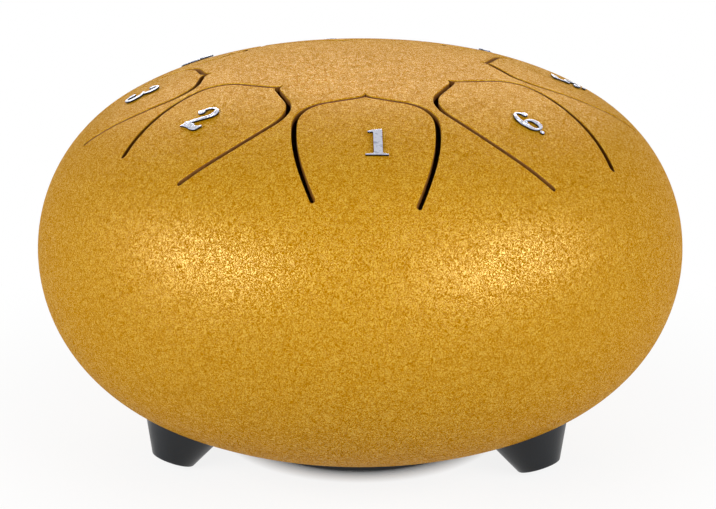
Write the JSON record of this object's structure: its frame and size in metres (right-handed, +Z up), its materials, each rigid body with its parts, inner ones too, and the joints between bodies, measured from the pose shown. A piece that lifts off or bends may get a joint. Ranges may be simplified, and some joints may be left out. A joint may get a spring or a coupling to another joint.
{
  "type": "steel tongue drum",
  "caption": "Small round steel tongue drum in gold, with ogee-tipped tongues, raised chrome numerals, conical rubber feet and a trimmed sound hole underneath",
  "frame": {"origin": "on the drum's axis, in the plane that the three feet stand on", "axes": "+Z up along the drum's axis, the numeral 1 faces -Y, which is the front, and +X is to the right seen from the front"},
  "size_m": [0.152, 0.152, 0.0913],
  "materials": {
    "painted_steel": "fine wrinkled metallic gold powder coat over pressed steel",
    "chrome_plate": "polished chrome-plated numerals",
    "black_rubber": "smooth moulded black rubber",
    "zinc_steel": "zinc-plated steel fasteners"
  },
  "bodies": {
    "drum": {"upper_shell": "painted_steel", "lower_shell": "painted_steel", "seam_weld": "painted_steel", "sound_hole_ring": "black_rubber", "foot_left": "black_rubber", "foot_right": "black_rubber", "foot_rear": "black_rubber", "foot_washer_left": "zinc_steel", "foot_washer_right": "zinc_steel", "foot_washer_rear": "zinc_steel", "foot_screw_left": "zinc_steel", "foot_screw_right": "zinc_steel", "foot_screw_rear": "zinc_steel", "inner_washer_left": "zinc_steel", "inner_washer_right": "zinc_steel", "inner_washer_rear": "zinc_steel", "foot_nut_left": "zinc_steel", "foot_nut_right": "zinc_steel", "foot_nut_rear": "zinc_steel"},
    "tongue_body_1": {"tongue_1": "painted_steel", "numeral_1": "chrome_plate"},
    "tongue_body_low_6": {"tongue_low_6": "painted_steel", "numeral_low_6": "chrome_plate", "dot_low_6": "chrome_plate"},
    "tongue_body_low_5": {"tongue_low_5": "painted_steel", "numeral_low_5": "chrome_plate", "dot_low_5": "chrome_plate"},
    "tongue_body_high_1": {"tongue_high_1": "painted_steel", "numeral_high_1": "chrome_plate", "dot_high_1": "chrome_plate"},
    "tongue_body_6": {"tongue_6": "painted_steel", "numeral_6": "chrome_plate"},
    "tongue_body_5": {"tongue_5": "painted_steel", "numeral_5": "chrome_plate"},
    "tongue_body_3": {"tongue_3": "painted_steel", "numeral_3": "chrome_plate"},
    "tongue_body_2": {"tongue_2": "painted_steel", "numeral_2": "chrome_plate"}
  },
  "joints": [
    {"name": "tongue_1_flex", "type": "hinge", "parent": "drum", "child": "tongue_body_1", "pos_m": [0.00143, -0.06185, 0.07635], "axis": [1, 0.0087, 0], "range_deg": [-0.6, 0.6], "stiffness_Nm_per_rad": 5},
    {"name": "tongue_low_6_flex", "type": "hinge", "parent": "drum", "child": "tongue_body_low_6", "pos_m": [0.04704, -0.03989, 0.07651], "axis": [0.6858, 0.7278, 0], "range_deg": [-0.6, 0.6], "stiffness_Nm_per_rad": 5},
    {"name": "tongue_low_5_flex", "type": "hinge", "parent": "drum", "child": "tongue_body_low_5", "pos_m": [0.06125, 0.00825, 0.0764], "axis": [-0.0976, 0.9952, 0], "range_deg": [-0.6, 0.6], "stiffness_Nm_per_rad": 5},
    {"name": "tongue_high_1_flex", "type": "hinge", "parent": "drum", "child": "tongue_body_high_1", "pos_m": [0.03934, 0.04783, 0.07629], "axis": [-0.7848, 0.6198, 0], "range_deg": [-0.6, 0.6], "stiffness_Nm_per_rad": 5},
    {"name": "tongue_6_flex", "type": "hinge", "parent": "drum", "child": "tongue_body_6", "pos_m": [-0.00919, 0.06079, 0.07667], "axis": [-0.9888, -0.1495, 0], "range_deg": [-0.6, 0.6], "stiffness_Nm_per_rad": 5},
    {"name": "tongue_5_flex", "type": "hinge", "parent": "drum", "child": "tongue_body_5", "pos_m": [-0.04942, 0.03711, 0.0764], "axis": [-0.6004, -0.7997, 0], "range_deg": [-0.6, 0.6], "stiffness_Nm_per_rad": 5},
    {"name": "tongue_3_flex", "type": "hinge", "parent": "drum", "child": "tongue_body_3", "pos_m": [-0.06169, -0.00366, 0.0764], "axis": [0.0593, -0.9982, 0], "range_deg": [-0.6, 0.6], "stiffness_Nm_per_rad": 5},
    {"name": "tongue_2_flex", "type": "hinge", "parent": "drum", "child": "tongue_body_2", "pos_m": [-0.04504, -0.04062, 0.07733], "axis": [0.6129, -0.7902, 0], "range_deg": [-0.6, 0.6], "stiffness_Nm_per_rad": 5}
  ]
}
